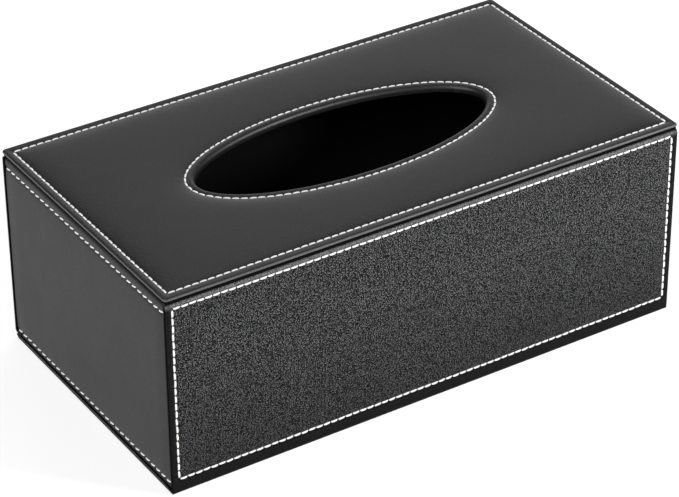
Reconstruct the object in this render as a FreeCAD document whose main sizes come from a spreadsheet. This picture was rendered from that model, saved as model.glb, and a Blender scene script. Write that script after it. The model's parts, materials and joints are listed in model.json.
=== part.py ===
"""Leather tissue box cover: lined board walls in stitched leather, an oval opening in a padded top,
and a bottom flap that hangs on a leather hinge along the front and shuts with magnets at the back.

X runs along the length, -Y is the front, Z is up and the cover stands on Z = 0. All sizes are millimetres.
"""
import FreeCAD, Part
import os
import Sketcher

from FreeCAD import Placement, Rotation, Vector

document = FreeCAD.newDocument("TissueBoxCover")
sheet = document.addObject("Spreadsheet::Sheet", "Sizes")

DRIVING_SIZES = {
    # Outside of the cover
    "cover_length": 250,
    "cover_depth": 137.5,
    "cover_height": 94.3,
    # Leather panels, their rolled edges and the gaps between them
    "leather_thick": 1.2,
    "top_leather_thick": 1.5,
    "turn_in_thick": 0.8,
    "edge_radius": 0.8,
    "hem_radius": 1.2,
    "corner_radius": 1.5,
    "end_recess": 0.5,
    "groove_depth": 0.4,
    "corner_gap": 0.8,
    # Boards, lining and the foam under the top
    "wall_board_thick": 4,
    "top_board_thick": 1.3,
    "lining_thick": 0.4,
    "pad_thick": 0.8,
    "pad_slope": 4,
    # Oval opening in the top
    "opening_length": 141.2,
    "opening_width": 55.6,
    "opening_offset": 1.2,
    # Bottom flap, its hinge and its magnets
    "flap_leather_thick": 0.8,
    "flap_board_thick": 1.2,
    "flap_clearance": 0.2,
    "hinge_tail": 14,
    "magnet_length": 14,
    "magnet_height": 4,
    "magnet_spacing": 150,
    "magnet_cover": 1.6,
    "magnet_margin": 0.5,
    # Seams
    "top_seam_end_inset": 3.4,
    "top_seam_side_inset": 4.2,
    "long_seam_upper_inset": 2.4,
    "long_seam_lower_inset": 4.4,
    "long_seam_end_inset": 3.2,
    "end_seam_upper_inset": 4.7,
    "end_seam_lower_inset": 2.1,
    "opening_seam_inset": 4,
    "seam_channel": 0.6,
    "stitch_pitch": 3.58,
    "stitch_gap": 0.8,
    "end_stitch_pitch": 4.3,
    "end_stitch_gap": 1.4,
    "thread_width": 0.8,
    "thread_height": 0.3,
}
for row, (alias, number) in enumerate(DRIVING_SIZES.items(), start=1):
    sheet.set(f"A{row}", alias)
    sheet.set(f"B{row}", str(number))
    sheet.setAlias(f"B{row}", alias)
document.recompute()

# Distances from the middle of the cover, as expressions on the sheet
half_length = "(Sizes.cover_length / 2)"
half_depth = "(Sizes.cover_depth / 2)"
end_face = f"({half_length} - Sizes.end_recess)"
carcass_half_length = f"({end_face} - Sizes.leather_thick)"
carcass_half_depth = f"({half_depth} - Sizes.leather_thick)"
room_half_length = f"({carcass_half_length} - Sizes.wall_board_thick)"
room_half_depth = f"({carcass_half_depth} - Sizes.wall_board_thick)"
lined_half_length = f"({room_half_length} - Sizes.lining_thick)"
lined_half_depth = f"({room_half_depth} - Sizes.lining_thick)"

# Heights above the floor
floor = "0"
flap_board_base = "Sizes.flap_leather_thick"
flap_board_top = f"({flap_board_base} + Sizes.flap_board_thick)"
flap_top = f"({flap_board_top} + Sizes.lining_thick)"
wall_base = f"({flap_top} + Sizes.flap_clearance)"
board_base = f"({wall_base} + Sizes.turn_in_thick)"
hem_top = "(Sizes.cover_height - Sizes.pad_thick)"
top_face = f"({hem_top} - Sizes.top_leather_thick)"
wall_top = f"({top_face} - Sizes.top_board_thick)"
ceiling = f"({wall_top} - Sizes.lining_thick)"
panel_top = wall_top

# Oval opening, a little nearer the front, and the same oval through the board behind its turned-in leather
opening_middle = "-Sizes.opening_offset"
opening_half_length = "(Sizes.opening_length / 2)"
opening_half_width = "(Sizes.opening_width / 2)"
board_hole = tuple(f"({half} + Sizes.turn_in_thick)" for half in (opening_half_length, opening_half_width))

nodes = []


def node(feature):
    """Count a finished feature as one of the cover's pieces."""
    nodes.append(feature)
    return feature


def span(side, inner, outer):
    """Low and high coordinate of a layer between two distances from the middle, on one side of it."""
    if side < 0:
        return f"-{outer}", f"-{inner}"
    return inner, outer


def block(name, low, high):
    """Rectangular solid between two opposite corners."""
    solid = document.addObject("Part::Box", name)
    for size, axis, start, stop in zip(("Length", "Width", "Height"), "xyz", low, high):
        solid.setExpression(size, f"({stop}) - ({start})")
        solid.setExpression(f"Placement.Base.{axis}", start)
    return solid


def ellipse(name, radii, height):
    """Ellipse round the middle of the opening, its long axis along X, at one height."""
    curve = document.addObject("Part::Ellipse", name)
    curve.setExpression("MajorRadius", radii[0])
    curve.setExpression("MinorRadius", radii[1])
    curve.setExpression("Placement.Base.y", opening_middle)
    curve.setExpression("Placement.Base.z", height)
    return curve


def oval_prism(name, radii, low, high):
    """Upright oval solid between two heights."""
    prism = document.addObject("Part::Extrusion", name)
    prism.Base = ellipse(f"{name}_outline", radii, low)
    prism.DirMode = "Custom"
    prism.Dir = Vector(0, 0, 1)
    prism.Solid = True
    prism.setExpression("LengthFwd", f"{high} - {low}")
    return prism


def oval_frustum(name, low_radii, high_radii, low, high):
    """Oval solid that flares from its lower outline to its upper one."""
    frustum = document.addObject("Part::Loft", name)
    frustum.Sections = [ellipse(f"{name}_foot", low_radii, low), ellipse(f"{name}_crest", high_radii, high)]
    frustum.Solid = True
    frustum.Ruled = True
    return frustum


def cut(name, base, tool):
    """First solid less the second."""
    result = document.addObject("Part::Cut", name)
    result.Base = base
    result.Tool = tool
    return result


def fuse(name, first, second):
    """Two touching solids made one, with no edge left where they met."""
    result = document.addObject("Part::Fuse", name)
    result.Base = first
    result.Tool = second
    result.Refine = True
    return result


def group(name, members):
    """Separate solids kept as one piece."""
    result = document.addObject("Part::Compound", name)
    result.Links = members
    return result


def origin_plane(body, role):
    """Plane of a body's own origin, found by its role."""
    return next(feature for feature in body.Origin.OriginFeatures if feature.Role == role)


def rectangle_sketch(body, role, width, height):
    """Rectangle centred on one of the body's origin planes."""
    sketch = body.newObject("Sketcher::SketchObject", f"{body.Name}_outline")
    sketch.AttachmentSupport = [(origin_plane(body, role), "")]
    sketch.MapMode = "FlatFace"
    corners = [Vector(-1, -1, 0), Vector(1, -1, 0), Vector(1, 1, 0), Vector(-1, 1, 0)]
    for start, stop in zip(corners, corners[1:] + corners[:1]):
        sketch.addGeometry(Part.LineSegment(start, stop))
    for side in range(4):
        sketch.addConstraint(Sketcher.Constraint("Coincident", side, 2, (side + 1) % 4, 1))
    for side in (0, 2):
        sketch.addConstraint(Sketcher.Constraint("Horizontal", side))
    for side in (1, 3):
        sketch.addConstraint(Sketcher.Constraint("Vertical", side))
    sketch.addConstraint(Sketcher.Constraint("Symmetric", 0, 1, 2, 1, -1, 1))
    wide = sketch.addConstraint(Sketcher.Constraint("DistanceX", 0, 1, 0, 2, 2))
    high = sketch.addConstraint(Sketcher.Constraint("DistanceY", 1, 1, 1, 2, 2))
    sketch.setExpression(f"Constraints[{wide}]", width)
    sketch.setExpression(f"Constraints[{high}]", height)
    return sketch


def fillet(body, base, edges, radius):
    """Rounding of chosen edges of a body's last feature."""
    document.recompute()
    chosen = [f"Edge{number}" for number, edge in enumerate(base.Shape.Edges, start=1) if edges(edge)]
    rounding = body.newObject("PartDesign::Fillet", f"{base.Name}_rounding")
    rounding.Base = (base, chosen)
    rounding.setExpression("Radius", radius)
    return rounding


def leather_sheet(name, role, outward, width, height, centre):
    """Flat leather panel that stands out from its plane, with its outer edges rolled over.

    The rolled edges are those that lie wholly at the panel's outer face.
    """
    body = document.addObject("PartDesign::Body", name)
    pad = body.newObject("PartDesign::Pad", f"{name}_pad")
    pad.Profile = rectangle_sketch(body, role, width, height)
    pad.setExpression("Length", "Sizes.leather_thick")
    document.recompute()
    pad.Reversed = pad.Shape.CenterOfMass.dot(outward) < 0
    document.recompute()
    reach = max(vertex.Point.dot(outward) for vertex in pad.Shape.Vertexes)

    def at_outer_face(edge):
        return all(reach - vertex.Point.dot(outward) < Part.Precision.confusion() for vertex in edge.Vertexes)

    fillet(body, pad, at_outer_face, "min(Sizes.edge_radius; 0.8 * Sizes.leather_thick)")
    for axis, place in zip("xyz", centre):
        body.setExpression(f"Placement.Base.{axis}", place)
    return body


panel_height = f"{panel_top} - {wall_base}"
panel_middle = f"({panel_top} + {wall_base}) / 2"
end_panel_half_depth = f"({carcass_half_depth} - Sizes.corner_gap)"

# Bar magnets in the lower edge of the back board, and those under them in the flap
magnet_back = f"({carcass_half_depth} - Sizes.magnet_cover)"


def magnet_pair(name, low, high):
    """Two bar magnets side by side along the back, between two heights."""
    bars = []
    for side in (-1, 1):
        middle = f"{side} * Sizes.magnet_spacing / 2"
        bars.append(block(
            f"{name}_{len(bars) + 1}",
            (f"{middle} - Sizes.magnet_length / 2", room_half_depth, low),
            (f"{middle} + Sizes.magnet_length / 2", magnet_back, high),
        ))
    return node(group(name, bars))


wall_magnets = magnet_pair("wall_magnets", board_base, f"({board_base} + Sizes.magnet_height)")
flap_magnets = magnet_pair("flap_magnets", flap_board_base, flap_board_top)

# Long walls: a board the length of the box, a leather panel turned under its lower edge, and a lining
for name, side in (("front", -1), ("back", 1)):
    board_low, board_high = span(side, room_half_depth, carcass_half_depth)
    lining_low, lining_high = span(side, lined_half_depth, room_half_depth)
    board_corners = (
        (f"-{carcass_half_length}", board_low, board_base),
        (carcass_half_length, board_high, wall_top),
    )
    if name == "back":
        blank = block("back_board_blank", *board_corners)
        node(cut("back_board", blank, wall_magnets))
    else:
        node(block("front_board", *board_corners))
    face = leather_sheet(
        f"{name}_leather_face", "XZ_Plane", Vector(0, side, 0), "Sizes.cover_length", panel_height,
        ("0", f"{side} * {carcass_half_depth}", panel_middle),
    )
    turn_in = block(
        f"{name}_turn_in",
        (f"-{carcass_half_length}", board_low, wall_base),
        (carcass_half_length, board_high, board_base),
    )
    node(fuse(f"{name}_leather", face, turn_in))
    node(block(
        f"{name}_lining",
        (f"-{room_half_length}", lining_low, wall_base),
        (room_half_length, lining_high, wall_top),
    ))

# End walls: a board between the long boards, a leather panel a gap short of the long panels, and a lining
for name, side in (("left_end", -1), ("right_end", 1)):
    board_low, board_high = span(side, room_half_length, carcass_half_length)
    lining_low, lining_high = span(side, lined_half_length, room_half_length)
    node(block(
        f"{name}_board",
        (board_low, f"-{room_half_depth}", board_base),
        (board_high, room_half_depth, wall_top),
    ))
    face = leather_sheet(
        f"{name}_leather_face", "YZ_Plane", Vector(side, 0, 0), f"2 * {end_panel_half_depth}", panel_height,
        (f"{side} * {carcass_half_length}", "0", panel_middle),
    )
    turn_in = block(
        f"{name}_turn_in",
        (board_low, f"-{room_half_depth}", wall_base),
        (board_high, room_half_depth, board_base),
    )
    node(fuse(f"{name}_leather", face, turn_in))
    node(block(
        f"{name}_lining",
        (lining_low, f"-{lined_half_depth}", wall_base),
        (lining_high, lined_half_depth, wall_top),
    ))

# Top board, laid on the walls and their leather, and the lining under it; its edge is the groove below the hem
top_board_half_length = f"({end_face} - Sizes.groove_depth)"
top_board_half_depth = f"({half_depth} - Sizes.groove_depth)"
board_oval = oval_prism("board_oval", board_hole, ceiling, top_face)
top_blank = block(
    "top_board_blank",
    (f"-{top_board_half_length}", f"-{top_board_half_depth}", wall_top),
    (top_board_half_length, top_board_half_depth, top_face),
)
node(cut("top_board", top_blank, board_oval))
lining_blank = block(
    "top_lining_blank",
    (f"-{lined_half_length}", f"-{lined_half_depth}", ceiling),
    (lined_half_length, lined_half_depth, wall_top),
)
node(cut("top_lining", lining_blank, board_oval))


def padded_field(name, base):
    """Low pad between the outer seam and the opening's seam, with sloping sides.

    Its foot keeps a channel's width clear of both seams, and its sides rise over the slope's run.
    """
    crest = f"({base} + Sizes.pad_thick)"
    foot_half_length = f"({half_length} - Sizes.top_seam_end_inset - Sizes.seam_channel)"
    foot_half_depth = f"({half_depth} - Sizes.top_seam_side_inset - Sizes.seam_channel)"
    slab = document.addObject("Part::Wedge", f"{name}_slab")
    slab.setExpression("Ymax", "Sizes.pad_thick")
    for low, high, half in (
        ("Xmin", "Xmax", foot_half_length),
        ("Zmin", "Zmax", foot_half_depth),
        ("X2min", "X2max", f"({foot_half_length} - Sizes.pad_slope)"),
        ("Z2min", "Z2max", f"({foot_half_depth} - Sizes.pad_slope)"),
    ):
        slab.setExpression(low, f"-{half}")
        slab.setExpression(high, half)
    slab.Placement = Placement(Vector(), Rotation(Vector(1, 0, 0), 90))
    slab.setExpression("Placement.Base.z", base)
    rim = "(Sizes.opening_seam_inset + Sizes.seam_channel)"
    foot_radii = tuple(f"({half} + {rim})" for half in (opening_half_length, opening_half_width))
    crest_radii = tuple(f"({radius} + Sizes.pad_slope)" for radius in foot_radii)
    well = oval_frustum(f"{name}_well", foot_radii, crest_radii, base, crest)
    return cut(name, slab, well)


# Foam pad on the top board
top_padding = node(padded_field("top_padding", top_face))

# Top leather: a sheet with rounded corners and a soft hem, raised over the pad and turned into the opening
hem = document.addObject("PartDesign::Body", "top_leather_hem")
hem_pad = hem.newObject("PartDesign::Pad", "top_leather_hem_pad")
hem_pad.Profile = rectangle_sketch(hem, "XY_Plane", "Sizes.cover_length", "Sizes.cover_depth")
hem_pad.setExpression("Length", "Sizes.top_leather_thick")
hem.setExpression("Placement.Base.z", top_face)


def upright(edge):
    """Edge that runs along Z."""
    return edge.BoundBox.ZLength > Part.Precision.confusion()


def at_top(edge):
    """Edge round the upper face."""
    return edge.BoundBox.ZMin > Part.Precision.confusion()


hem_corners = fillet(hem, hem_pad, upright, "Sizes.corner_radius")
hem_roll = "min(Sizes.hem_radius; 0.9 * Sizes.top_leather_thick; 0.9 * Sizes.corner_radius)"
fillet(hem, hem_corners, at_top, hem_roll)
raised_sheet = fuse("top_leather_raised", hem, padded_field("top_leather_field", hem_top))
hollow_sheet = cut("top_leather_hollow", raised_sheet, top_padding)
opening_radii = (opening_half_length, opening_half_width)
opening = oval_prism("opening", opening_radii, ceiling, hem_top)
open_sheet = cut("top_leather_open", hollow_sheet, opening)
turned_edge = cut(
    "top_leather_turned_edge",
    oval_prism("turned_edge_outside", board_hole, ceiling, top_face),
    oval_prism("turned_edge_inside", opening_radii, ceiling, top_face),
)
node(fuse("top_leather", open_sheet, turned_edge))

# Flap hinge: a leather strip folded round along the front lower edge, with a tail glued under the flap board
fold_radius = f"({flap_top} / 2)"
hinge_line = f"(-{half_depth} + {fold_radius})"
tail_end = f"({hinge_line} + Sizes.hinge_tail)"
fold = document.addObject("Part::Cylinder", "hinge_fold")
fold.setExpression("Radius", fold_radius)
fold.setExpression("Height", "Sizes.cover_length")
fold.Placement = Placement(Vector(), Rotation(Vector(0, 1, 0), 90))
for axis, place in zip("xyz", (f"-{half_length}", hinge_line, fold_radius)):
    fold.setExpression(f"Placement.Base.{axis}", place)
tail = block("hinge_tail", (f"-{half_length}", hinge_line, floor), (half_length, tail_end, flap_board_base))
node(fuse("hinge_strip", fold, tail))

# Bottom flap: a thin board with its magnets let in, a lining above, and leather below turned up at three edges
flap_front = f"(-{half_depth} + {flap_top} + Sizes.flap_clearance)"
flap_board_half_length = f"({half_length} - Sizes.turn_in_thick)"
flap_board_back = f"({magnet_back} + Sizes.magnet_margin)"
flap_back = f"({flap_board_back} + Sizes.turn_in_thick)"
flap_blank = block(
    "flap_board_blank",
    (f"-{flap_board_half_length}", flap_front, flap_board_base),
    (flap_board_half_length, flap_board_back, flap_board_top),
)
node(cut("flap_board", flap_blank, flap_magnets))
node(block(
    "flap_lining",
    (f"-{flap_board_half_length}", flap_front, flap_board_top),
    (flap_board_half_length, flap_board_back, flap_top),
))
flap_rim = cut(
    "flap_rim",
    block(
        "flap_rim_outside",
        (f"-{half_length}", flap_front, flap_board_base),
        (half_length, flap_back, flap_top),
    ),
    block(
        "flap_rim_inside",
        (f"-{flap_board_half_length}", flap_front, flap_board_base),
        (flap_board_half_length, flap_board_back, flap_top),
    ),
)
flap_sole = block("flap_sole", (f"-{half_length}", tail_end, floor), (half_length, flap_back, flap_board_base))
node(fuse("flap_leather", flap_sole, flap_rim))
document.recompute()


def value(expression):
    """Number that an expression on the sheet comes to."""
    return float(sheet.evalExpression(expression))


def stitch(start, stop, normal):
    """Thread of D section, flat side down, laid between two points on a face with the given normal."""
    half_width = sheet.thread_width / 2
    foot_left = Vector(0, -half_width, 0)
    foot_right = Vector(0, half_width, 0)
    crown = Part.Arc(foot_left, Vector(0, 0, sheet.thread_height), foot_right).toShape()
    sole = Part.LineSegment(foot_right, foot_left).toShape()
    along = stop - start
    thread = Part.Face(Part.Wire([crown, sole])).extrude(Vector(along.Length, 0, 0))
    along.normalize()
    thread.Placement = Placement(start, Rotation(along, normal.cross(along), normal, "XZY"))
    return thread


def stitches_between(points, normal, gap):
    """One stitch in each interval of a row of needle holes, short of the holes by half a gap."""
    row = []
    for start, stop in zip(points, points[1:]):
        along = (stop - start).normalize() * (gap / 2)
        row.append(stitch(start + along, stop - along, normal))
    return row


def straight_row(start, stop, normal, pitch, gap):
    """Even stitches on a line, clear of its ends by half the thread's width."""
    margin = (stop - start).normalize() * (sheet.thread_width / 2)
    first = start + margin
    run = stop - margin - first
    count = max(1, round(run.Length / pitch))
    return stitches_between([first + run * (step / count) for step in range(count + 1)], normal, gap)


def closed_row(corners, normal):
    """Straight rows from corner to corner and back to the first."""
    row = []
    for start, stop in zip(corners, corners[1:] + corners[:1]):
        row += straight_row(start, stop, normal, sheet.stitch_pitch, sheet.stitch_gap)
    return row


def seam(name, row):
    """A row of stitches as one piece."""
    threads = document.addObject("Part::Feature", name)
    threads.Shape = Part.makeCompound(row)
    threads.Placement = Placement()
    return node(threads)


def rectangle_corners(half_wide, low, high, point):
    """Corners of a rectangle, as point(across, up) places them."""
    return [point(-half_wide, low), point(half_wide, low), point(half_wide, high), point(-half_wide, high)]


# Seams of the top: one along the edges and one round the opening
up = Vector(0, 0, 1)
seam_height = value(hem_top)
seam_half_length = value(half_length) - sheet.top_seam_end_inset
seam_half_depth = value(half_depth) - sheet.top_seam_side_inset
top_corners = rectangle_corners(
    seam_half_length, -seam_half_depth, seam_half_depth,
    lambda across, back: Vector(across, back, seam_height),
)
seam("top_edge_stitching", closed_row(top_corners, up))
opening_seam = Part.Ellipse(
    Vector(0, value(opening_middle), seam_height),
    value(opening_half_length) + sheet.opening_seam_inset,
    value(opening_half_width) + sheet.opening_seam_inset,
).toShape()
opening_stitches = round(opening_seam.Length / sheet.stitch_pitch)
needle_holes = opening_seam.discretize(Number=opening_stitches + 1)
seam("opening_stitching", stitches_between(needle_holes, up, sheet.stitch_gap))

# Seams of the walls: a full rectangle on the long panels, two rows of longer stitches on the ends
long_seam_low = value(wall_base) + sheet.long_seam_lower_inset
long_seam_high = value(panel_top) - sheet.long_seam_upper_inset
long_seam_half_length = value(half_length) - sheet.long_seam_end_inset
end_seam_low = value(wall_base) + sheet.end_seam_lower_inset
end_seam_high = value(panel_top) - sheet.end_seam_upper_inset
end_seam_half_depth = value(end_panel_half_depth) - min(sheet.edge_radius, sheet.leather_thick)
for name, side in (("front", -1), ("back", 1)):
    face = side * value(half_depth)
    panel_corners = rectangle_corners(
        long_seam_half_length, long_seam_low, long_seam_high,
        lambda across, height: Vector(across, face, height),
    )
    seam(f"{name}_stitching", closed_row(panel_corners, Vector(0, side, 0)))
for name, side in (("left_end", -1), ("right_end", 1)):
    face = side * value(end_face)
    rows = []
    for height in (end_seam_low, end_seam_high):
        front_end = Vector(face, -end_seam_half_depth, height)
        back_end = Vector(face, end_seam_half_depth, height)
        rows += straight_row(
            front_end, back_end, Vector(side, 0, 0), sheet.end_stitch_pitch, sheet.end_stitch_gap,
        )
    seam(f"{name}_stitching", rows)

document.recompute()
for feature in document.Objects:
    if {"Invalid", "Error"} & set(feature.State):
        raise RuntimeError(f"{feature.Label} failed to build")
os.makedirs("parts", exist_ok=True)
for piece in nodes:
    if piece.Shape.isNull() or not piece.Shape.isValid():
        raise RuntimeError(f"{piece.Label} has no valid shape")
for piece in nodes:
    piece.Shape.exportStep(f"parts/{piece.Label}.step")
    print(f"{piece.Label}: {len(piece.Shape.Solids)} solids, {piece.Shape.Volume:.1f} mm3")
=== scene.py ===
import json
import math

import bmesh
import bpy
import numpy as np
from mathutils import Matrix, Vector


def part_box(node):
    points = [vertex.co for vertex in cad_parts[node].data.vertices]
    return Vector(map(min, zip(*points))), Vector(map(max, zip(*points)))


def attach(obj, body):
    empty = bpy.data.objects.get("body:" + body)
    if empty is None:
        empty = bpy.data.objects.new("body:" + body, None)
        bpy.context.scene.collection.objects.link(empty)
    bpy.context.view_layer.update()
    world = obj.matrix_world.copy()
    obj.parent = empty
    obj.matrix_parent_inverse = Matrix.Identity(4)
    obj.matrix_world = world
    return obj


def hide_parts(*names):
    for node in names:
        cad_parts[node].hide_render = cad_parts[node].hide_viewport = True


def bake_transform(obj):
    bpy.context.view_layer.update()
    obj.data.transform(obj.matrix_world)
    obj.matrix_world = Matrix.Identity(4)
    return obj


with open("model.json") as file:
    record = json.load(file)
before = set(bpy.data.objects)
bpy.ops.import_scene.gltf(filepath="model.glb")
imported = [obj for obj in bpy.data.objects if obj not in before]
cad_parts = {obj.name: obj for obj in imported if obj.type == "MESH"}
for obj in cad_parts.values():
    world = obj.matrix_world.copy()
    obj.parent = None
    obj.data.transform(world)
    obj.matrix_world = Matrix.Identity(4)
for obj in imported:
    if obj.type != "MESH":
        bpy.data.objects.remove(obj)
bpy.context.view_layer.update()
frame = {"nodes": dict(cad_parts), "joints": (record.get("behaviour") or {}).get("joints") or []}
nodes = frame["nodes"]
mm = 0.001


# Boards: five pieces of fibreboard glued into a box with no bottom, and a thin one inside the flap.
# Black paper is pasted over them, so they show only as a dull fibrous black where the leather stops.
# The paper's black is set darker than real paper: painted shade for the groove under the top's hem.


class Tone:
    """One output socket of a material; sums and products of tones add Math nodes to that material."""

    def __init__(self, socket):
        self.socket = socket

    def node(self, kind, settings, sockets, output=0):
        """Add a node of that kind: its settings first, then the value or the link of each socket."""
        tree = self.socket.id_data
        made = tree.nodes.new(kind)
        for setting, choice in settings.items():
            setattr(made, setting, choice)
        for socket, given in sockets.items():
            if isinstance(given, Tone):
                tree.links.new(given.socket, made.inputs[socket])
            else:
                made.inputs[socket].default_value = given
        return Tone(made.outputs[output])

    def maths(self, operation, first, second=0.0):
        return self.node("ShaderNodeMath", {"operation": operation}, {0: first, 1: second})

    def __add__(self, other):
        return self.maths("ADD", self, other)

    def __radd__(self, other):
        return self.maths("ADD", other, self)

    def __sub__(self, other):
        return self.maths("SUBTRACT", self, other)

    def __rsub__(self, other):
        return self.maths("SUBTRACT", other, self)

    def __mul__(self, other):
        return self.maths("MULTIPLY", self, other)

    def __rmul__(self, other):
        return self.maths("MULTIPLY", other, self)


def new_finish(name, **uniform):
    """New material with the values that are the same all over it set on its shader.

    Returns the material, its shader and the Object coordinates.
    """
    finish = bpy.data.materials.new(name)
    finish.use_nodes = True
    shader = finish.node_tree.nodes["Principled BSDF"]
    for socket, value in uniform.items():
        shader.inputs[socket.replace("_", " ")].default_value = value
    place = Tone(finish.node_tree.nodes.new("ShaderNodeTexCoord").outputs["Object"])
    return finish, shader, place


def feed(shader, **tones):
    """Link tones to the shader's sockets of the same names."""
    for socket, tone in tones.items():
        shader.id_data.links.new(tone.socket, shader.inputs[socket.replace("_", " ")])


def cloudy(place, lumps, detail=2.0):
    """Soft cloudy pattern from 0 to 1, with that many lumps in a metre."""
    return place.node("ShaderNodeTexNoise", {}, {"Vector": place, "Scale": lumps, "Detail": detail})


def between(share, first, second):
    """Colour that goes from the first to the second as the share goes from 0 to 1."""
    return share.node("ShaderNodeMix", {"data_type": "RGBA"}, {0: share, 6: (*first, 1), 7: (*second, 1)}, 2)


def raised(height):
    """Normal of a surface raised by that height in millimetres."""
    return height.node("ShaderNodeBump", {}, {"Strength": 1.0, "Distance": mm, "Height": height})


def dress(finish, *names):
    """Give the solids of those names that finish alone."""
    for name in names:
        nodes[name].data.materials.clear()
        nodes[name].data.materials.append(finish)


board_paper, shader, place = new_finish("board_paper", Specular_IOR_Level=0.03)
fibres = cloudy(place, 2600, 4.0)
mottle = cloudy(place, 120)
# Painted shade: this black is darker than real black paper, so the groove under the top's hem comes out
# black.
feed(shader,
     Base_Color=between(fibres, (0.0015, 0.0015, 0.0014), (0.006, 0.0055, 0.005)),
     Roughness=0.78 + 0.14 * mottle,
     Normal=raised(0.05 * fibres + 0.05 * mottle))
dress(board_paper, "top_board", "front_board", "back_board", "left_end_board", "right_end_board",
      "flap_board")


# Lining: black flocked sheets glued to the inside of every wall, under the top and on the flap.
# The flocking is a short velvet pile, dull from above and a little paler where light grazes it.
flock, shader, place = new_finish("flock", Sheen_Weight=0.06, Sheen_Roughness=0.5, Specular_IOR_Level=0.06)
pile = cloudy(place, 5200, 3.0)
rubbed = cloudy(place, 45)
# Painted shade: the flocking's black is darker than real flocking, so the inside of the opening comes out
# dark.
feed(shader,
     Base_Color=between(pile, (0.001, 0.001, 0.0011), (0.004, 0.004, 0.0043)),
     Roughness=0.88 + 0.1 * rubbed,
     Normal=raised(0.12 * pile + 0.2 * rubbed))
dress(flock, "top_lining", "front_lining", "back_lining", "left_end_lining", "right_end_lining",
      "flap_lining")


# Magnets: two nickel-plated bars let into the back wall and two more on the flap, glued in place.
# Their pull holds the flap shut; the plating has the faint streaks of barrel polishing.
plating, shader, place = new_finish("magnet_plating", Metallic=1.0)
drawn_out = place.node("ShaderNodeMapping", {}, {"Vector": place, "Scale": (0.2, 1.0, 1.0)})
streaks = cloudy(drawn_out, 3000, 3.0)
feed(shader,
     Base_Color=between(streaks, (0.50, 0.49, 0.47), (0.66, 0.65, 0.62)),
     Roughness=0.22 + 0.2 * streaks,
     Normal=raised(0.006 * streaks))
dress(plating, "wall_magnets", "flap_magnets")


# Padding: a thin sheet of upholstery foam glued on the top board, between the two seams of the top.
# The seams pull the leather down on both sides of it, so it is full in the middle and nothing at its edges.


def new_piece(name, points, finish, slot, **measures):
    """Piece with a face between each four neighbours of a grid of points, for one grid or a stack of grids.

    A grid has rows and columns, and its last column joins its first. Points that coincide are merged, which
    closes the ends. Each measure is a number kept with every point for the finish to read.
    """
    same_place = 0.002 * mm
    sharp_bend = math.radians(55)
    rows, columns = points.shape[-3:-1]
    corner = np.arange(points.size // 3).reshape(-1, rows, columns)
    beside = np.roll(corner, -1, axis=2)
    faces = np.stack([corner[:, :-1], beside[:, :-1], beside[:, 1:], corner[:, 1:]], axis=-1)
    mesh = bpy.data.meshes.new(name)
    mesh.from_pydata(points.reshape(-1, 3).tolist(), [], faces.reshape(-1, 4).tolist())
    for measure, numbers in measures.items():
        kept = mesh.attributes.new(measure, "FLOAT", "POINT")
        kept.data.foreach_set("value", np.broadcast_to(numbers, points.shape[:-1]).astype(np.float32).ravel())
    merged = bmesh.new()
    merged.from_mesh(mesh)
    bmesh.ops.remove_doubles(merged, verts=merged.verts, dist=same_place)
    bmesh.ops.recalc_face_normals(merged, faces=merged.faces)
    merged.to_mesh(mesh)
    merged.free()
    mesh.shade_smooth()
    mesh.set_sharp_from_angle(angle=sharp_bend)
    mesh.materials.append(finish)
    piece = bpy.data.objects.new(name, mesh)
    bpy.context.scene.collection.objects.link(piece)
    return piece


thread_width = 0.8 * mm
pad_thickness = 0.8 * mm
glue_line = 0.03 * mm
outline_corner = 1.5 * mm
seam_corner = 0.6 * mm
field_corner = 6 * mm
board_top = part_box("top_board")[1].z
top_seam_half = np.array(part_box("top_edge_stitching")[1])[:2] - thread_width / 2
top_seam_inset = np.array(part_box("top_leather")[1])[:2] - top_seam_half
opening_low, opening_high = (np.array(corner)[:2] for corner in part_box("opening_stitching"))
opening_seam_half = (opening_high - opening_low - thread_width) / 2
opening_y = (opening_low[1] + opening_high[1]) / 2


def seam_ellipse_gap(x, y):
    """Distance out from the opening's seam, an ellipse with half axes a and b, to first order.

    It is k (k - 1) over the length of (x / a2, y / b2), where k is the length of (x / a, y / b) and y is
    taken from the opening's middle.
    """
    a, b = opening_seam_half
    y = y - opening_y
    k = np.hypot(x / a, y / b)
    return k * (k - 1) / np.hypot(x / a**2, y / b**2)


def fullness(x, y):
    """Share of the padding's height that the seams leave, from 0 on a seam to nearly 1 in the open field.

    It is a product over the gaps to the end rows, the long rows and the oval row. Each factor is the mean of
    1 - exp(-gap / softness) for a near and a far softness.
    """
    near, far = 2.4 * mm, 8.0 * mm
    share = 1.0
    for gap in (top_seam_half[0] - np.abs(x), top_seam_half[1] - np.abs(y), seam_ellipse_gap(x, y)):
        gap = np.clip(gap, 0, None)
        share = share * (1 - 0.5 * np.exp(-gap / near) - 0.5 * np.exp(-gap / far))
    return share


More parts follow.
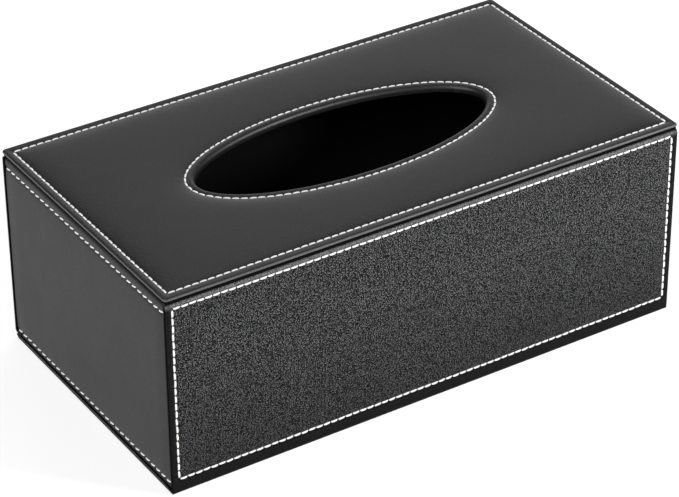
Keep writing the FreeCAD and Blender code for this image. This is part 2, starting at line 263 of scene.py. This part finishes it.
def round_the_top(ellipse_out, inset, share, corner):
    """Rings of points round the top, each as far from the oval seam to the outline as its share says.

    A ring mixes an offset ellipse, the seam's ellipse moved out along its normals, with a rounded rectangle,
    the outline moved in along X and Y. The rectangle's samples are corner centres plus a radius along the
    arc's direction.
    """
    side_points, end_points, arc_points = 74, 42, 8
    long_side = np.linspace(1, -1, side_points)[1:-1]
    short_side = np.linspace(1, -1, end_points)[1:-1]
    arc = np.linspace(0, math.pi / 2, arc_points)
    one = np.ones_like
    centre_x = np.concatenate([one(arc), long_side, -one(arc), -one(short_side),
                               -one(arc), -long_side, one(arc), one(short_side)])
    centre_y = np.concatenate([one(arc), one(long_side), one(arc), short_side,
                               -one(arc), -one(long_side), -one(arc), -short_side])
    turn = np.concatenate([arc, 0 * long_side + math.pi / 2, arc + math.pi / 2, 0 * short_side + math.pi,
                           arc + math.pi, 0 * long_side + 1.5 * math.pi, arc + 1.5 * math.pi, 0 * short_side])
    ellipse_out, share, corner = (np.asarray(v, float)[:, None] for v in (ellipse_out, share, corner))
    half_x, half_y = np.array(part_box("top_leather")[1])[:2]
    rectangle_x = centre_x * (half_x - inset[:, :1] - corner) + corner * np.cos(turn)
    rectangle_y = centre_y * (half_y - inset[:, 1:] - corner) + corner * np.sin(turn)
    outline_x = centre_x * (half_x - outline_corner) + outline_corner * np.cos(turn)
    outline_y = centre_y * (half_y - outline_corner) + outline_corner * np.sin(turn)
    angle = np.arctan2(outline_y, outline_x * half_y / half_x)
    a, b = opening_seam_half
    normal = np.stack([np.cos(angle) / a, np.sin(angle) / b])
    normal = normal / np.hypot(*normal)
    ellipse_x = a * np.cos(angle) + ellipse_out * normal[0]
    ellipse_y = opening_y + b * np.sin(angle) + ellipse_out * normal[1]
    return (1 - share) * ellipse_x + share * rectangle_x, (1 - share) * ellipse_y + share * rectangle_y


def field_rings():
    """Ellipse offset, outline inset, share and corner radius of the rings from the oval to the outer seam.

    The rings leave each seam in widening steps, and those between mix the last ones evenly.
    """
    steps = np.array([0, 0.3, 0.7, 1.2, 1.9, 2.8, 4.0, 5.6, 7.6, 10.0, 13.0]) * mm
    middle = np.linspace(0, 1, 9)[1:-1]
    ellipse_out = np.concatenate([steps, 0 * middle + steps[-1], 0 * steps + steps[-1]])
    inward = np.concatenate([0 * steps + steps[-1], 0 * middle + steps[-1], steps[::-1]])
    share = np.concatenate([0 * steps, middle, 0 * steps + 1])
    corner = np.interp(inward, [0, steps[-1]], [seam_corner, field_corner])
    return ellipse_out, top_seam_inset + inward[:, None], share, corner


foam, shader, place = new_finish("upholstery_foam", Specular_IOR_Level=0.15)
cells = place.node("ShaderNodeTexVoronoi", {"feature": "SMOOTH_F1"}, {"Vector": place, "Scale": 1900.0})
feed(shader,
     Base_Color=between(cells, (0.74, 0.70, 0.58), (0.50, 0.46, 0.36)),
     Roughness=0.85 + 0.1 * cells,
     Normal=raised(0.2 * cells))
x, y = round_the_top(*field_rings())
foam_top = np.stack([x, y, board_top + glue_line + pad_thickness * fullness(x, y)], axis=-1)
foam_base = np.stack([x, y, np.full_like(x, board_top + glue_line)], axis=-1)
foam_pad = new_piece("foam_pad", np.concatenate([foam_top, foam_base[-2::-1]]), foam, "foam")
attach(foam_pad, "cover")
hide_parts("top_padding")


# Top leather: one sheet of coated leather over the padding, sewn down along its edges and round the opening.
# Its hem is a soft roll outside the seam, over the board's edge, and the middle is turned into the oval hole.


def measured(place, measure):
    """The number of that name that is kept with each point of a piece."""
    return place.node("ShaderNodeAttribute", {"attribute_name": measure}, {}, 2)


def ramp(tone, start, stop, first=0.0):
    """Straight ramp from first to 1 as the tone goes from start to stop, and level outside them."""
    return tone.node("ShaderNodeMapRange", {}, {0: tone, 1: start, 2: stop, 3: first, 4: 1.0})


def leather_finish(name, grain, seam_grain, glint_strength, shine, sheen_roughness):
    """Black coated leather: pebbles of about a millimetre, fine pale dots, and dips at the needle holes.

    The grain is the pebbles' height in millimetres, and seam_grain what the stretch adds to it beside a seam.
    glint_strength is how much the dots show, and shine the strength of the gloss. The pale dots are painted
    glints: the lamps' highlights on the pebbles, put into the colour. They lie round the points of a jittered
    grid on x + y and z + y, which no wall or top shows edge on, and each has a chance strength. The seam_gap
    and stitch_phase of a point say how far, in millimetres, the nearest seam is and how many stitches along
    it the point lies. Where a point has an worn the leather is paler, a painted highlight on a rolled
    edge. Where it is painted a dull black edge paint covers it, which is also painted shade for the gaps at
    the front corners. The dots are fainter towards the foot of a wall, which is painted shade, and gone where
    a hem is pressed flat.
    """
    black, pale = (0.005, 0.005, 0.0052), (0.50, 0.50, 0.515)
    # Painted highlight: how much paler the rolled edges are made.
    edge_highlight_share = 0.34
    # Painted shade: the dots fade to this share of their strength at the foot of a wall.
    foot_shade_height, foot_shade_share = 60 * mm, 0.5
    finish, shader, place = new_finish(name, Specular_IOR_Level=shine)
    wobble = place.node("ShaderNodeTexNoise", {}, {"Vector": place, "Scale": 900.0, "Detail": 1.0}, 1)
    wander = place.node("ShaderNodeVectorMath", {"operation": "MULTIPLY_ADD"},
                        {0: wobble, 1: (0.9 * mm,) * 3, 2: place})
    pebbles = place.node("ShaderNodeTexVoronoi", {"feature": "SMOOTH_F1"},
                         {"Vector": wander, "Scale": 950.0, "Smoothness": 0.3})
    pores = cloudy(place, 1600, 1.0)
    waves = cloudy(place, 60)
    x, y, z = (place.node("ShaderNodeSeparateXYZ", {}, {0: place}, axis) for axis in range(3))
    slanted = place.node("ShaderNodeCombineXYZ", {}, {0: x + y, 1: z + y})
    plane = {"voronoi_dimensions": "2D"}
    dots = {"Vector": slanted, "Scale": 1500.0, "Randomness": 0.7}
    # Painted glints: pale dots in the colour stand in for the lamps' highlights on the pebbles.
    spot = ramp(place.node("ShaderNodeTexVoronoi", plane, dots), 0.45, 0.05)
    chance = ramp(place.node("ShaderNodeTexVoronoi", plane, dots, 1), 0.1, 1.0)
    pressed = measured(place, "pressed")
    painted_glints = spot * chance * ramp(z, 0.0, foot_shade_height, foot_shade_share) * (1.0 - pressed)
    gap = measured(place, "seam_gap")
    beside = place.maths("EXPONENT", gap * gap * -0.06)
    needle = 0.5 + 0.5 * place.maths("COSINE", measured(place, "stitch_phase") * (2 * math.pi))
    holes = place.maths("EXPONENT", gap * gap * -0.9) * needle
    depth = (grain + seam_grain * beside) * (1.0 - 0.7 * pressed)
    # The dull black edge paint is partly painted shade: it stands in for the shade in the gaps beside the
    # front corners.
    paint = place.node("ShaderNodeBsdfPrincipled", {}, {
        "Base Color": (0.003, 0.003, 0.003, 1), "Roughness": 0.9, "Specular IOR Level": 0.03})
    coats = place.node("ShaderNodeMixShader", {}, {
        0: measured(place, "painted"), 1: Tone(shader.outputs[0]), 2: paint})
    finish.node_tree.links.new(coats.socket, finish.node_tree.nodes["Material Output"].inputs["Surface"])
    # The colour carries the painted glints and the painted highlight on the rolled edges.
    feed(shader,
         Base_Color=between(glint_strength * painted_glints + edge_highlight_share * measured(place, "worn") * pores, black, pale),
         Roughness=sheen_roughness + 0.06 * waves + 0.1 * (pores - 0.5),
         Normal=raised(depth * (1.0 - pebbles * 1.4) + 0.6 * depth * pores + 0.12 * waves - 0.16 * holes))
    return finish


smooth_leather = leather_finish("smooth_leather", grain=0.012, seam_grain=0.05, glint_strength=0.068, shine=0.47,
                                sheen_roughness=0.42)
leather = 1.2 * mm
lining = 0.4 * mm
crown_lift = 0.3 * mm
stitch_pitch = 3.58 * mm
hem_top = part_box("top_edge_stitching")[0].z
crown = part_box("top_leather")[1].z + crown_lift
panel_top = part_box("front_leather")[1].z
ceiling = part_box("top_board")[0].z - lining
opening_inset = 4.0 * mm
turn_in = 0.8 * mm
seam_sink = 0.30 * mm
hem_swell = 0.16 * mm
quarter = np.linspace(0, math.pi / 2, 11)
rise = np.linspace(0, 1, 9)[1:-1]

# From the foot of the turned-in edge up the wall of the opening and over its rolled rim to the seam
rim_width = 2.0 * mm
rim_foot = hem_top - 1.9 * mm
edge_low, edge_high = ceiling + 0.1 * mm, ceiling + 0.4 * mm
foot = np.linspace(0, 1, 5)
rim_out = np.concatenate([[0.5 * turn_in, 0.1 * turn_in], 0 * foot, rim_width * (1 - np.cos(quarter[1:])),
                          rim_width + (opening_inset - rim_width) * rise]) - opening_inset
rim_height = np.concatenate([[ceiling, edge_low],
                             edge_high + (rim_foot - edge_high) * foot,
                             rim_foot + (hem_top + hem_swell - rim_foot) * np.sin(quarter[1:]),
                             hem_top + hem_swell - (hem_swell + seam_sink) * rise**2])

# From the outer seam over the soft hem, round its edge to a thin lip and back under it
hem_width = 0.9 * mm
hem_foot = board_top + 0.7 * mm
lip_inset = np.array([[0.02], [0.12], [0.3], [0.9], [1.0]]) * mm
lip_height = board_top + np.array([0.55, 0.46, 0.42, 0.42, 0.0, 0.0]) * mm
even = np.ones((1, 2))
hem_inset = np.concatenate([
    hem_width + (top_seam_inset - hem_width) * rise[::-1, None],
    hem_width * (1 - np.cos(quarter[::-1, None])) * even,
    lip_inset * even,
    [top_seam_inset]])
hem_height = np.concatenate([
    hem_top + hem_swell - (hem_swell + seam_sink) * rise[::-1]**2,
    hem_foot + (hem_top + hem_swell - hem_foot) * np.sin(quarter[::-1]),
    lip_height])
# Painted highlight: the hem's roll and the lip at its edge are made paler, standing in for the lamps'
# highlight there.
hem_highlight = np.concatenate([0 * rise, np.cos(quarter[::-1])**4, [0.6, 0.0, 0.0, 0.0, 0.0, 0.0]])

# Underneath, over the padding to the hole in the board and down beside the board
under_level = board_top + 0.05 * mm
board_edge = turn_in + 0.6 * mm
hole_top, hole_foot = board_top - 0.3 * mm, ceiling + 0.2 * mm
hole_down = np.linspace(0, 1, 4)
back_out = np.concatenate([[board_edge], turn_in + 0 * hole_down]) - opening_inset
back_height = np.concatenate([[board_top], hole_top + (hole_foot - hole_top) * hole_down])

# All the rings in one closed run: rim, padded field, hem, underside, and back to the rim's foot
out, inset, share, corner = field_rings()
under = slice(-2, None, -2)
rim_count, hem_count = rim_out.size, len(hem_inset)
under_count, back_count = out[under].size, back_out.size + 1
hem_corner = np.interp(hem_inset[:, 1], [0, top_seam_inset[1]], [outline_corner, seam_corner])
x, y = round_the_top(
    np.concatenate([rim_out, out, np.zeros(hem_count), out[under], back_out, rim_out[:1]]),
    np.concatenate([np.zeros((rim_count, 2)), inset, hem_inset, inset[under], np.zeros((back_count, 2))]),
    np.concatenate([np.zeros(rim_count), share, np.ones(hem_count), share[under], np.zeros(back_count)]),
    np.concatenate([np.full(rim_count, mm), corner, hem_corner, corner[under], np.full(back_count, mm)]))
ring_highlight = np.concatenate([np.zeros(rim_count + out.size), hem_highlight, np.zeros(under_count + back_count)])
level = np.concatenate([rim_height, np.full(out.size, hem_top - seam_sink), hem_height,
                        np.full(under_count, under_level), back_height, rim_height[:1]])
swelling = np.concatenate([np.zeros(rim_count), np.full(out.size, crown - hem_top + seam_sink),
                           np.zeros(hem_count), np.full(under_count, pad_thickness), np.zeros(back_count)])
z = level[:, None] + swelling[:, None] * fullness(x, y)

# How far each point is from the nearest seam, and how many stitches along it
oval_gap = np.abs(seam_ellipse_gap(x, y))
past_ends, past_sides = np.abs(x) - top_seam_half[0], np.abs(y) - top_seam_half[1]
straight_gap = np.abs(np.maximum(past_ends, past_sides))
along_side = np.where(past_ends > past_sides, y, x)
sweep = np.linspace(0, 2 * math.pi, 2000)
oval_run = np.cumsum(np.hypot(opening_seam_half[0] * np.sin(sweep), opening_seam_half[1] * np.cos(sweep)))
oval_run = oval_run * sweep[1]
oval_count = round(oval_run[-1] / stitch_pitch)
oval_angle = np.mod(np.arctan2((y - opening_y) / opening_seam_half[1], x / opening_seam_half[0]), 2 * math.pi)
oval_phase = np.interp(oval_angle, sweep, oval_run) / oval_run[-1] * oval_count
top_leather = new_piece(
    "top_leather_sheet", np.stack([x, y, z], axis=-1), smooth_leather, "leather",
    seam_gap=np.minimum(oval_gap, straight_gap) / mm,
    stitch_phase=np.where(oval_gap < straight_gap, oval_phase, along_side / stitch_pitch),
    worn=ring_highlight[:, None], painted=0.0, pressed=0.0)
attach(top_leather, "cover")
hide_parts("top_leather")


# Front leather and flap: one sheet runs down the front, folds under its lower edge as the hinge, and covers
# the flap. It is sewn round the front with its edges rolled over, and a strip of it is turned in and glued
# under the front board.
far_from_seams = 50.0
wall_roll = 1.6 * mm
cut_edge = 0.3 * mm


def spaced(low, high, step, *places):
    """Points from low to high a step apart, with closer ones round the places where the surface bends."""
    near = np.array([-2.4, -1.6, -1.0, -0.6, -0.3, 0, 0.3, 0.6, 1.0, 1.6, 2.4]) * mm
    clearance = 2.6 * mm
    places = np.array(places)
    even = np.linspace(low, high, round((high - low) / step) + 1)
    clear = np.abs(np.subtract.outer(even, places)).min(axis=1) > clearance
    clear[[0, -1]] = True
    points = np.unique(np.concatenate([even[clear], np.add.outer(places, near).ravel()]).round(7))
    return points[(points >= low) & (points <= high)]


def stitched_leather(name, finish, facing, face, half_width, top, base, fold, reach, depths, rows, side_rows,
                     top_roll, side_roll, pitch, painted_down=0.0, roll_highlight_strength=1.0):
    """Leather sheet that runs down a wall, round a quarter fold and in underneath, with rolled edges.

    Along the sheet the line is straight, then a quarter circle, then straight again, and the surface is that
    line moved by the relief along its normal. The relief is a dip exp(-(gap / width)2) at each seam, a low
    swell 1 - exp(-gap / softness) inside the seams, a rounded hem outside them, and a quarter ellipse at each
    edge. The back of the sheet lies at its depth under the line. facing is the way out of the wall, and face
    how far out. Its cut side edges are painted black down to painted_down along the sheet, an edge paint that
    is also painted shade for the gap at the corner. roll_highlight_strength is how strong the painted
    highlight on its upper roll is.
    """
    grid_step = 4 * mm
    swell, swell_softness = 0.22 * mm, 3 * mm
    dip, dip_width = 0.26 * mm, 0.9 * mm
    hem_round = 0.5 * mm
    fall = top - base - fold
    turn = fold * math.pi / 2
    length = fall + turn + reach
    round_off = 1 - np.cos(np.linspace(0, math.pi / 2, 8))
    across = spaced(side_roll - half_width, half_width - side_roll, grid_step, -side_rows, side_rows)[1:-1]
    across = np.concatenate([[-half_width], side_roll * round_off - half_width, across,
                             half_width - side_roll * round_off[::-1], [half_width]])
    along = spaced(top_roll, length - leather, grid_step, *rows, fall + turn / 2)[1:-1]
    along = np.unique(np.concatenate([along, np.linspace(fall, fall + turn, 9)]).round(7))
    along = np.concatenate([[0], top_roll * round_off, along, length - leather * round_off[::-1], [length]])
    p, s = np.meshgrid(across, along)
    depth = np.interp(s, *np.array(depths).T)
    middle, half_rows = (rows[0] + rows[1]) / 2, (rows[1] - rows[0]) / 2
    past_rows, past_sides = np.abs(s - middle) - half_rows, np.abs(p) - side_rows
    past = np.maximum(past_rows, past_sides)
    hem = np.clip(past / rows[0], 0, 1)
    relief = (swell * (1 - np.exp(np.minimum(past, 0) / swell_softness)) + hem_round * hem * (1 - hem)
              - dip * np.exp(-(past / dip_width)**2))
    side_edge = np.clip(1 - (half_width - np.abs(p)) / side_roll, 0, 1)
    level_edge = np.clip(np.maximum(1 - s / top_roll, 1 - (length - s) / leather), 0, 1)
    rolled = leather * (1 - np.sqrt(np.clip(1 - side_edge**2 - level_edge**2, 0, None)))
    outer = rolled - relief * (1 - rolled / leather)
    outer[[0, -1]] = depth[[0, -1]]
    outer[:, [0, -1]] = depth[:, [0, -1]]
    shown = np.s_[:, :across.size]
    # Painted highlight: the upper roll is made paler where the lamps' highlight falls; it is faint on the
    # ends.
    roll_highlight = roll_highlight_strength * np.clip(1.6 - s / top_roll, 0, 1) * np.clip(2.4 - 2.4 * level_edge, 0, 1)
    # Black edge paint on the cut side edges, partly painted shade for the gap beside the ends.
    painted_edge = np.clip(4 * side_edge - 1, 0, 1) * (s < painted_down)
    pressed_hem = 0.9 * np.clip(np.maximum(s - rows[1], past_sides) / mm, 0, 1) * (s < fall)

    sunk = np.concatenate([outer, depth[:, -2:0:-1]], axis=1)
    p, s = (np.concatenate([v, v[:, -2:0:-1]], axis=1) for v in (p, s))
    bend = np.clip((s - fall) / fold, 0, math.pi / 2)
    out = face - fold * (1 - np.cos(bend)) - np.clip(s - fall - turn, 0, None) - sunk * np.cos(bend)
    z = top - np.minimum(s, fall) - fold * np.sin(bend) + sunk * np.sin(bend)
    points = np.stack([facing[0] * out - facing[1] * p, facing[1] * out + facing[0] * p, z], axis=-1)
    gap, worn = np.full(s.shape, far_from_seams), np.zeros(s.shape)
    painted, pressed = np.zeros(s.shape), np.ones(s.shape)
    gap[shown], worn[shown] = np.abs(past) / mm, roll_highlight
    painted[shown], pressed[shown] = painted_edge, pressed_hem
    phase = np.where(np.abs(p) - side_rows > np.abs(s - middle) - half_rows, s - rows[0], p) / pitch
    return new_piece(name, points, finish, "leather", seam_gap=gap, stitch_phase=phase, worn=worn,
                     painted=painted, pressed=pressed)


def rows_of(node, top):
    """Distances of a wall's upper and lower seam rows below the top edge of its leather."""
    low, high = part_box(node)
    return top - high.z + thread_width / 2, top - low.z - thread_width / 2


grained_leather = leather_finish("grained_leather", grain=0.22, seam_grain=0.05, glint_strength=0.72, shine=0.03,
                                 sheen_roughness=0.24)
low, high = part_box("front_leather")
hinge_fold = frame["joints"][0]["pos_m"][2]
front_fall = panel_top - hinge_fold
flap_start = front_fall + hinge_fold * math.pi / 2
front_thickness, flap_thickness = leather - 0.1 * mm, 2.2 * mm
thickening_start, thickening_end = flap_start + 1.2 * mm, flap_start + 3 * mm
# Only the front sheet gets the black edge paint, which is partly painted shade in the gap beside the ends.
front_leather = stitched_leather(
    "front_leather_and_flap", grained_leather, facing=(0, -1), face=-low.y, half_width=high.x, top=panel_top,
    base=0.0, fold=hinge_fold, reach=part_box("flap_leather")[1].y - low.y - hinge_fold,
    depths=[(0, leather), (front_fall, front_thickness), (thickening_start, front_thickness),
            (thickening_end, flap_thickness)],
    rows=rows_of("front_stitching", panel_top), side_rows=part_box("front_stitching")[1].x - thread_width / 2,
    top_roll=wall_roll, side_roll=cut_edge, pitch=stitch_pitch, painted_down=front_fall)
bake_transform(front_leather)
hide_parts("front_leather", "hinge_strip", "flap_leather")

# The turned-in strip is a flattened superellipse carried along the front and closed at both ends
strip_low, strip_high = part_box("front_board")
strip_turn = np.linspace(0, 2 * math.pi, 25)[:-1]
strip_across = np.sign(np.cos(strip_turn)) * np.abs(np.cos(strip_turn))**0.25
strip_up = np.sign(np.sin(strip_turn)) * np.abs(np.sin(strip_turn))**0.5
strip_size = np.array([0, 1, 1, 0])[:, None]
strip_run = np.array([strip_low.x, strip_low.x, strip_high.x, strip_high.x])[:, None]
strip_points = np.stack([
    strip_run + 0 * strip_turn,
    (strip_low.y + strip_high.y) / 2 + strip_size * strip_across * (strip_high.y - strip_low.y) / 2,
    (low.z + strip_low.z) / 2 + strip_size * strip_up * (strip_low.z - low.z) / 2], axis=-1)
turn_in_strip = new_piece("front_turn_in", strip_points, grained_leather, "leather", seam_gap=far_from_seams,
                          stitch_phase=0.0, worn=0.0, painted=0.0, pressed=1.0)
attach(turn_in_strip, "cover")
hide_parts("front_leather")


# Back and end leathers: the back is sewn like the front, and the ends have only their two level rows.
# The ends lie between the long panels, and all three are turned in under the boards and glued.
back_low, back_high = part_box("back_leather")
wall_base = back_low.z
wall_reach = 4.2 * mm
wall_fall = panel_top - wall_base
thinning_start, thinning_end = wall_fall - 2 * mm, wall_fall + mm
wall_depths = [(0, leather), (thinning_start, leather), (thinning_end, turn_in)]
back_leather = stitched_leather(
    "back_leather_sheet", grained_leather, facing=(0, 1), face=back_high.y, half_width=back_high.x,
    top=panel_top, base=wall_base, fold=leather, reach=wall_reach, depths=wall_depths,
    rows=rows_of("back_stitching", panel_top), side_rows=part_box("back_stitching")[1].x - thread_width / 2,
    top_roll=wall_roll, side_roll=cut_edge, pitch=stitch_pitch)
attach(back_leather, "cover")
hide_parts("back_leather")

end_pitch = 4.3 * mm
end_fold = 0.9 * mm
end_roll = 0.8 * mm
end_overlap = 0.4 * mm
beyond_the_end = 1.0
# Painted shade: the ends get the top's leather with less gloss, so they come out darker.
shaded_end_finish = leather_finish("end_leather", grain=0.012, seam_grain=0.05, glint_strength=0.068, shine=0.26,
                            sheen_roughness=0.42)
for side, way in (("left", -1), ("right", 1)):
    end_low, end_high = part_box(f"{side}_end_leather")
    end_leather = stitched_leather(
        f"{side}_end_leather_sheet", shaded_end_finish, facing=(way, 0), face=max(-end_low.x, end_high.x),
        half_width=end_high.y + end_overlap, top=panel_top, base=wall_base, fold=end_fold, reach=wall_reach,
        depths=wall_depths, rows=rows_of(f"{side}_end_stitching", panel_top), side_rows=beyond_the_end,
        top_roll=wall_roll, side_roll=end_roll, pitch=end_pitch, roll_highlight_strength=0.05)
    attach(end_leather, "cover")
    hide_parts(f"{side}_end_leather")


# Seams: thick white polyester thread in slightly slanting stitches, pulled into the leather at every needle
# hole. The rows run round the top, round the opening, round the front and back, and level across the ends.
thread, shader, place = new_finish("white_thread", Specular_IOR_Level=0.3, Sheen_Weight=0.15)
ply = 0.5 + 0.5 * place.maths("SINE", measured(place, "strand") * (2 * math.pi))
fuzz = cloudy(place, 6000, 2.0)
feed(shader,
     Base_Color=between(ply * 0.7 + fuzz * 0.3, (0.82, 0.815, 0.80), (0.97, 0.965, 0.955)),
     Roughness=0.62 + 0.2 * fuzz,
     Normal=raised(0.06 * ply + 0.02 * fuzz))
chance = np.random.default_rng(31)


def sewn(node, centres, along, outward, half_stitch, half_thread, slant):
    """Piece with a thread from needle hole to needle hole at each centre, for the seam of a CAD node.

    A thread's line is x along the seam and a height 1 - x4 over it. Its section is an ellipse, and it narrows
    to a point inside each hole. Each stitch slants and strays by chance.
    """
    arch, hole_depth = 0.42 * mm, 0.28 * mm
    flatness = 0.8
    slant_stray, side_stray = 0.03, 0.05 * mm
    strand_turns, strands = 1.5, 3
    count = len(centres)
    step = np.array([-1, -0.92, -0.72, -0.35, 0, 0.35, 0.72, 0.92, 1])
    turn = np.linspace(-0.5 * math.pi, 1.5 * math.pi, 7)[:-1]
    girth = np.sqrt(np.clip(1 - step**6, 0, None))[:, None]
    slants = (slant + slant_stray * chance.standard_normal(count))[:, None, None]
    stray = (side_stray * chance.standard_normal(count))[:, None, None]
    run = half_stitch * step[:, None] + 0 * turn
    reach = half_thread * girth * np.cos(turn) + slants * run + stray
    lift = arch * (1 - step[:, None]**4) - hole_depth + flatness * half_thread * girth * np.sin(turn)
    along, outward = (np.broadcast_to(v, centres.shape)[:, None, None] for v in (along, outward))
    aside = np.cross(outward, along)
    points = centres[:, None, None] + along * run[None, ..., None] + aside * reach[..., None] \
        + outward * lift[None, ..., None]
    seam = new_piece(node + "_thread", points, thread, "thread",
                     strand=strand_turns * step[:, None] + strands * np.arange(turn.size) / turn.size)
    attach(seam, "cover")
    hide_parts(node)


def straight(start, stop, pitch):
    """Centres and direction of the even stitches on a line, clear of its ends by half the thread's width."""
    start, stop = np.array(start), np.array(stop)
    length = np.linalg.norm(stop - start)
    way = (stop - start) / length
    run = length - thread_width
    count = round(run / pitch)
    place = thread_width / 2 + run * (np.arange(count) + 0.5) / count
    return start + place[:, None] * way, np.broadcast_to(way, (count, 3))


def joined(*rows):
    """Several rows as one."""
    return (np.concatenate(part) for part in zip(*rows))


def framed(corner_points):
    """Rows from corner to corner and back to the first."""
    return joined(*(straight(corner_points[i - 1], corner_points[i], stitch_pitch) for i in range(4)))


half_stitch, half_thread, slant = 1.70 * mm, 0.45 * mm, 0.03
seam_level = hem_top - seam_sink
upward = np.array([0, 0, 1.0])
tx, ty = top_seam_half
centres, along = framed([(-tx, -ty, seam_level), (tx, -ty, seam_level),
                         (tx, ty, seam_level), (-tx, ty, seam_level)])
sewn("top_edge_stitching", centres, along, upward, half_stitch, half_thread, slant)

angle = np.interp((np.arange(oval_count) + 0.5) / oval_count * oval_run[-1], oval_run, sweep)
a, b = opening_seam_half
centres = np.stack([a * np.cos(angle), opening_y + b * np.sin(angle), 0 * angle + seam_level], axis=-1)
along = np.stack([-a * np.sin(angle), b * np.cos(angle), 0 * angle], axis=-1)
along = along / np.linalg.norm(along, axis=1)[:, None]
sewn("opening_stitching", centres, along, upward, half_stitch, half_thread, slant)

wall_sink = 0.2 * mm
for wall, way in (("front", -1), ("back", 1)):
    seam_low, seam_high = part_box(f"{wall}_stitching")
    half, y = seam_high.x - thread_width / 2, way * (back_high.y - wall_sink)
    low_row, high_row = seam_low.z + thread_width / 2, seam_high.z - thread_width / 2
    centres, along = framed([(-half, y, low_row), (half, y, low_row),
                             (half, y, high_row), (-half, y, high_row)])
    sewn(f"{wall}_stitching", centres, along, np.array([0, way, 0.0]), half_stitch, half_thread, slant)

end_half_stitch, end_half_thread, end_slant = 1.70 * mm, 0.39 * mm, 0.17
row_overlap = 0.2 * mm
for side, way in (("left", -1), ("right", 1)):
    seam_low, seam_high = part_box(f"{side}_end_stitching")
    end_low, end_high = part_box(f"{side}_end_leather")
    x, half = way * (max(-end_low.x, end_high.x) - wall_sink), end_high.y + row_overlap
    low_row, high_row = seam_low.z + thread_width / 2, seam_high.z - thread_width / 2
    centres, along = joined(straight((x, -half, low_row), (x, half, low_row), end_pitch),
                            straight((x, -half, high_row), (x, half, high_row), end_pitch))
    sewn(f"{side}_end_stitching", centres, along, np.array([way, 0, 0.0]),
         end_half_stitch, end_half_thread, end_slant)


# Studio: a plain white table that glows a little, as opal glass lit from below, under a dim white sky.
# A large soft key light stands high at the left. Smaller soft boxes stand low behind, low in front at the
# right and high at the back right, and draw out the rolled edges.
floor_white, shader, place = new_finish("floor_white", Specular_IOR_Level=0.1, Emission_Strength=0.50,
                                        Emission_Color=(1, 1, 1, 1))
feed(shader,
     Base_Color=between(cloudy(place, 3), (0.78, 0.78, 0.78), (0.80, 0.80, 0.80)),
     Roughness=0.8 + 0.1 * cloudy(place, 40))
floor_half, floor_level = 4.0, -0.05 * mm
floor_corners = [(-floor_half, -floor_half, floor_level), (floor_half, -floor_half, floor_level),
                 (floor_half, floor_half, floor_level), (-floor_half, floor_half, floor_level)]
floor_mesh = bpy.data.meshes.new("floor")
floor_mesh.from_pydata(floor_corners, [], [(0, 1, 2, 3)])
floor_mesh.materials.append(floor_white)
floor = bpy.data.objects.new("floor", floor_mesh)
bpy.context.scene.collection.objects.link(floor)

world = bpy.data.worlds.new("studio")
world.use_nodes = True
world.node_tree.nodes["Background"].inputs["Color"].default_value = (1, 1, 1, 1)
world.node_tree.nodes["Background"].inputs["Strength"].default_value = 0.20
bpy.context.scene.world = world


def soft_box(name, place, target, width, height, power):
    """Rectangular area light at a place, turned to its target."""
    lamp = bpy.data.lights.new(name, "AREA")
    lamp.shape = "RECTANGLE"
    lamp.size, lamp.size_y = width, height
    lamp.energy = power
    light = bpy.data.objects.new(name, lamp)
    light.location = place
    light.rotation_euler = (Vector(target) - Vector(place)).to_track_quat("-Z", "Y").to_euler()
    bpy.context.scene.collection.objects.link(light)


soft_box("key_light", place=(-1.8, -1.0, 1.8), target=(0, 0, 0.05), width=1.4, height=1.4, power=46.0)
soft_box("back_light", place=(1.1, 1.7, 0.45), target=(0, 0, 0.08), width=1.8, height=0.7, power=6.0)
soft_box("front_light", place=(0.6, -0.7, 0.5), target=(0, 0, 0.08), width=0.28, height=0.2, power=7.5)
soft_box("right_light", place=(0.55, 0.75, 1.3), target=(0, 0, 0.08), width=0.5, height=0.4, power=1.5)

# The camera aims at a point in the cover; its focal length is in the same unit as the width of the picture
bearing, height_angle, tilt = math.radians(-32.371), math.radians(32.21), math.radians(-0.424)
aim = Vector((-3.463, -2.988, 40.725)) * mm
distance = 1253.578 * mm
picture_width, focal_length = 679, 2925.349
stand = Vector((math.sin(bearing) * math.cos(height_angle), -math.cos(bearing) * math.cos(height_angle),
                math.sin(height_angle)))
level_right = (-stand).cross(Vector((0, 0, 1))).normalized()
level_up = level_right.cross(-stand)
right = math.cos(tilt) * level_right + math.sin(tilt) * level_up
up = math.cos(tilt) * level_up - math.sin(tilt) * level_right
lens = bpy.data.cameras.new("camera")
lens.sensor_fit = "HORIZONTAL"
lens.sensor_width = 36.0
lens.lens = lens.sensor_width * focal_length / picture_width
lens.clip_start, lens.clip_end = 0.05, 20.0
camera = bpy.data.objects.new("camera", lens)
camera.matrix_world = Matrix.Translation(aim + distance * stand) \
    @ Matrix((right, up, stand)).transposed().to_4x4()
bpy.context.scene.collection.objects.link(camera)
bpy.context.scene.camera = camera
bpy.context.scene.view_settings.view_transform = "Standard"
